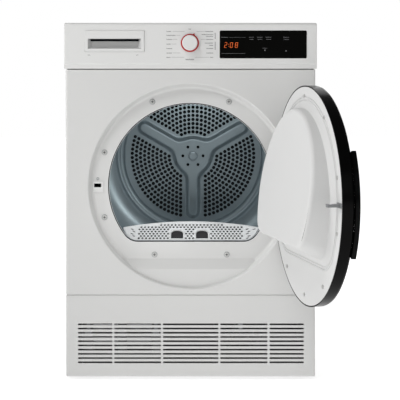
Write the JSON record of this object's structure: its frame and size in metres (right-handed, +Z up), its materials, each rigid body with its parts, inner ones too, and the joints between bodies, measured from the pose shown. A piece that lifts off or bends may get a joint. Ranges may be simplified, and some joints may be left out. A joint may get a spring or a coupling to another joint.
{
  "type": "clothes dryer",
  "caption": "Freestanding front-loading condenser tumble dryer with a round side-hinged door, water drawer, dial, lint filter, turning drum and hinged service flap.",
  "frame": {"origin": "on the floor, at the centre of the rectangle made by the four feet", "axes": "+Z up, the front and its door look along -Y, +X to the right of a person facing the machine"},
  "size_m": [0.6345, 1.038, 0.845],
  "materials": {
    "white_enamel": "satin enamel",
    "white_plastic": "fine satin",
    "black_gloss": "gloss",
    "door_glass": "gloss",
    "display": "gloss",
    "red_plastic": "satin",
    "grey_plastic": "satin",
    "dark_plastic": "moulded",
    "zinc_steel": "zinc coated",
    "stainless": "brushed",
    "steel": "turned",
    "lifter_plastic": "satin",
    "rubber_black": "matt",
    "rubber_grey": "matt",
    "roller_plastic": "moulded",
    "felt": "pressed wool felt",
    "screen": "fine mesh",
    "bronze": "sintered bronze",
    "aluminium": "cast and sheet",
    "circuit_board": "laminate"
  },
  "bodies": {
    "cabinet": {"base_tray": "dark_plastic", "casing_screws": "stainless", "condensate_pump": "dark_plastic", "condenser_core": "aluminium", "condenser_frame": "dark_plastic", "control_board": "circuit_board", "control_panel": "white_plastic", "display_window": "display", "drive_belt": "rubber_black", "drum_felt_seals": "felt", "front_bulkhead": "grey_plastic", "front_panel": "white_enamel", "heating_element": "steel", "hinge_bracket": "stainless", "latch_plate": "white_plastic", "left_side_panel": "white_enamel", "mains_gland": "dark_plastic", "moisture_sensor_strips": "stainless", "motor": "aluminium", "opening_seal": "rubber_grey", "pump_hose": "rubber_black", "rear_bearing": "bronze", "rear_bulkhead": "zinc_steel", "rear_duct_cover": "zinc_steel", "rear_panel": "zinc_steel", "right_side_panel": "white_enamel", "roller_axles": "steel", "tank_channel": "grey_plastic", "top_cover": "white_plastic"},
    "door": {"door_ring": "black_gloss", "door_outer_panel": "door_glass", "door_inner_panel": "white_plastic", "door_screws": "stainless", "door_handle": "black_gloss", "door_hook": "grey_plastic", "hinge_plate": "stainless"},
    "knob": {"program_knob": "white_plastic", "knob_ring": "red_plastic"},
    "tank": {"tank_front": "white_plastic", "water_tank": "grey_plastic"},
    "filter": {"filter_cover": "grey_plastic", "filter_frame": "dark_plastic", "filter_screens": "screen"},
    "flap": {"service_flap": "white_plastic"},
    "lock_left": {"condenser_lock_left": "grey_plastic"},
    "lock_right": {"condenser_lock_right": "grey_plastic"},
    "drum": {"drum_shell": "stainless", "drum_back": "stainless", "drum_shaft": "steel", "drum_lifters": "lifter_plastic"},
    "rotor": {"motor_shaft": "steel", "process_fan": "dark_plastic", "cooling_fan": "dark_plastic"},
    "roller_left": {"support_roller_left": "roller_plastic"},
    "roller_right": {"support_roller_right": "roller_plastic"},
    "catch": {"latch_catch": "dark_plastic"},
    "foot_fl": {"foot_front_left": "rubber_black"},
    "foot_fr": {"foot_front_right": "rubber_black"},
    "foot_rl": {"foot_rear_left": "rubber_black"},
    "foot_rr": {"foot_rear_right": "rubber_black"}
  },
  "joints": [
    {"name": "door_hinge", "type": "hinge", "parent": "cabinet", "child": "door", "pos_m": [0.215, -0.295, 0.459], "axis": [0, 0, 1], "range_deg": [-102.7, 13]},
    {"name": "tank_slide", "type": "slide", "parent": "cabinet", "child": "tank", "axis": [0, -1, 0], "range_m": [0, 0.45]},
    {"name": "knob_turn", "type": "hinge", "parent": "cabinet", "child": "knob", "pos_m": [-0.0012, -0.29, 0.797], "axis": [0, -1, 0], "continuous": true},
    {"name": "filter_slide", "type": "slide", "parent": "cabinet", "child": "filter", "axis": [0, 0, 1], "range_m": [0, 0.15]},
    {"name": "flap_hinge", "type": "hinge", "parent": "cabinet", "child": "flap", "pos_m": [0, -0.268, 0.016], "axis": [1, 0, 0], "range_deg": [0, 90]},
    {"name": "lock_left_turn", "type": "hinge", "parent": "cabinet", "child": "lock_left", "pos_m": [-0.246, -0.24, 0.106], "axis": [0, 1, 0], "range_deg": [0, 90]},
    {"name": "lock_right_turn", "type": "hinge", "parent": "cabinet", "child": "lock_right", "pos_m": [-0.084, -0.24, 0.106], "axis": [0, -1, 0], "range_deg": [0, 90]},
    {"name": "drum_spin", "type": "hinge", "parent": "cabinet", "child": "drum", "pos_m": [0, 0, 0.506], "axis": [0, 1, 0], "continuous": true},
    {"name": "motor_spin", "type": "hinge", "parent": "cabinet", "child": "rotor", "pos_m": [0.12, 0, 0.115], "axis": [0, 1, 0], "continuous": true},
    {"name": "roller_left_spin", "type": "hinge", "parent": "cabinet", "child": "roller_left", "pos_m": [-0.18314, -0.166, 0.24444], "axis": [0, 1, 0], "continuous": true},
    {"name": "roller_right_spin", "type": "hinge", "parent": "cabinet", "child": "roller_right", "pos_m": [0.18314, -0.166, 0.24444], "axis": [0, 1, 0], "continuous": true},
    {"name": "catch_slide", "type": "slide", "parent": "cabinet", "child": "catch", "axis": [1, 0, 0], "range_m": [0, 0.003], "stiffness_N_per_m": 300, "springref_m": -0.002},
    {"name": "foot_fl_screw", "type": "slide", "parent": "cabinet", "child": "foot_fl", "axis": [0, 0, -1], "range_m": [0, 0.01]},
    {"name": "foot_fr_screw", "type": "slide", "parent": "cabinet", "child": "foot_fr", "axis": [0, 0, -1], "range_m": [0, 0.01]},
    {"name": "foot_rl_screw", "type": "slide", "parent": "cabinet", "child": "foot_rl", "axis": [0, 0, -1], "range_m": [0, 0.01]},
    {"name": "foot_rr_screw", "type": "slide", "parent": "cabinet", "child": "foot_rr", "axis": [0, 0, -1], "range_m": [0, 0.01]}
  ],
  "couplings": [
    {"joint": "motor_spin", "follows": "drum_spin", "ratio": 26.463},
    {"joint": "roller_left_spin", "follows": "drum_spin", "ratio": -8.1143},
    {"joint": "roller_right_spin", "follows": "drum_spin", "ratio": -8.1143}
  ]
}
